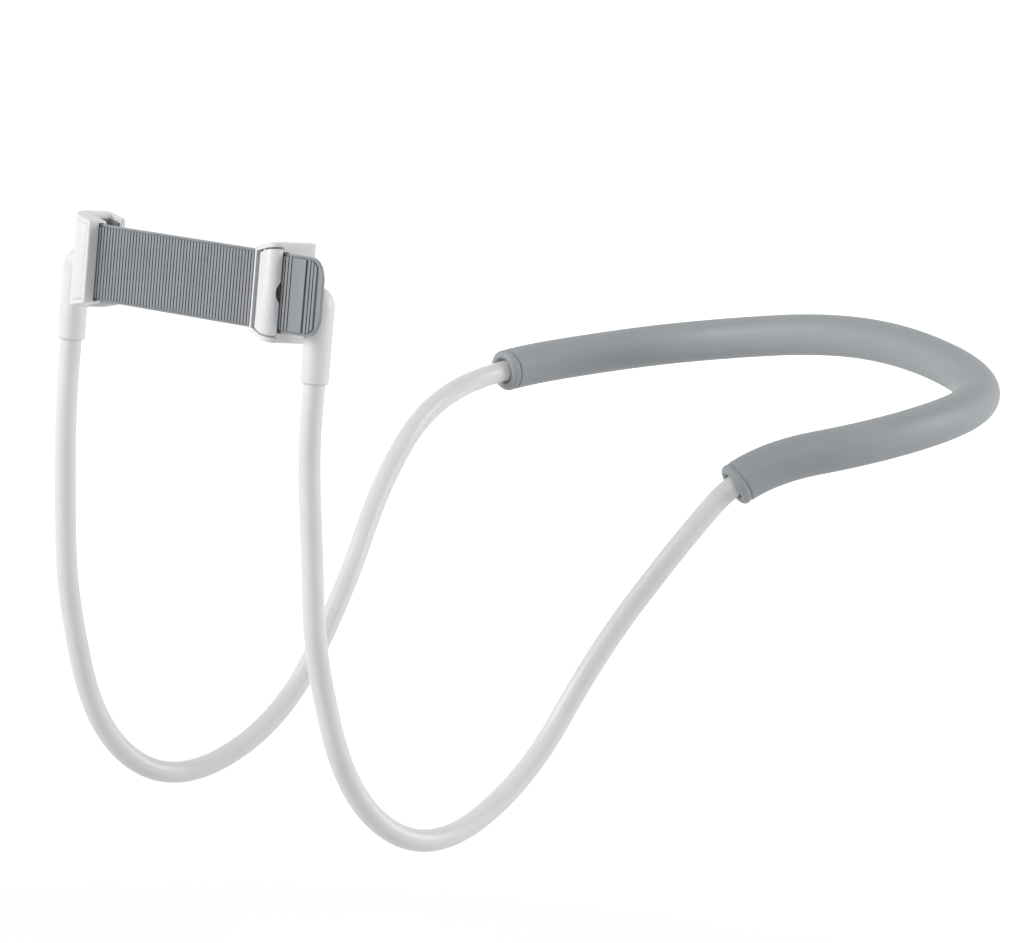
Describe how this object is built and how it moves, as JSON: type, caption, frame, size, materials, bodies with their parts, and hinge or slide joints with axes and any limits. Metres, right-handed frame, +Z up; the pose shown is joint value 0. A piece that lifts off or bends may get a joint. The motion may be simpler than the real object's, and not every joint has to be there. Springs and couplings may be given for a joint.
{
  "type": "neck phone holder",
  "caption": "Neck phone holder: bendable arm looped round the nape in a soft pad, its ends rising to a tilting clamp of hooked jaws on a ribbed band with a lock flap.",
  "frame": {"origin": "inner side of the neck pad at the middle of the nape, where it bears on the back of the neck", "axes": "+X towards the wearer's left (lock jaw side), -Y forward to the clamp, +Z up"},
  "size_m": [0.3042, 0.4286, 0.2676],
  "materials": {
    "core_metal": "drawn, bare",
    "sheath_white": "satin extruded",
    "moulded_white": "satin moulded",
    "pad_grey": "satin soft",
    "grip_grey": "matte soft",
    "band_grey": "matte ribbed",
    "fastener_steel": "zinc plated"
  },
  "bodies": {
    "arm": {"gooseneck_core": "core_metal", "gooseneck_sheath": "sheath_white", "neck_pad_sleeve": "pad_grey", "pad_ring_lock_side": "pad_grey", "pad_ring_anchor_side": "pad_grey", "lock_arm_socket": "moulded_white", "anchor_arm_socket": "moulded_white", "lock_pivot_washer": "fastener_steel", "anchor_pivot_washer": "fastener_steel", "lock_pivot_screw": "fastener_steel", "anchor_pivot_screw": "fastener_steel"},
    "clamp": {"lock_jaw_body": "moulded_white", "lock_jaw_grip": "grip_grey", "flap_hinge_pin": "fastener_steel", "anchor_jaw_body": "moulded_white", "anchor_jaw_cover": "moulded_white", "anchor_cover_screws": "fastener_steel", "anchor_jaw_grip": "grip_grey", "ribbed_band": "band_grey", "band_anchor_pin": "fastener_steel"},
    "flap": {"lock_flap": "moulded_white"}
  },
  "joints": [
    {"name": "clamp_tilt", "type": "hinge", "parent": "arm", "child": "clamp", "pos_m": [0, -0.391, 0.016], "axis": [-1, 0, 0], "range_deg": [-10, 180]},
    {"name": "flap_open", "type": "hinge", "parent": "clamp", "child": "flap", "pos_m": [0.06865, -0.40485, 0.018], "axis": [0, 0, -1], "range_deg": [0, 100]}
  ]
}
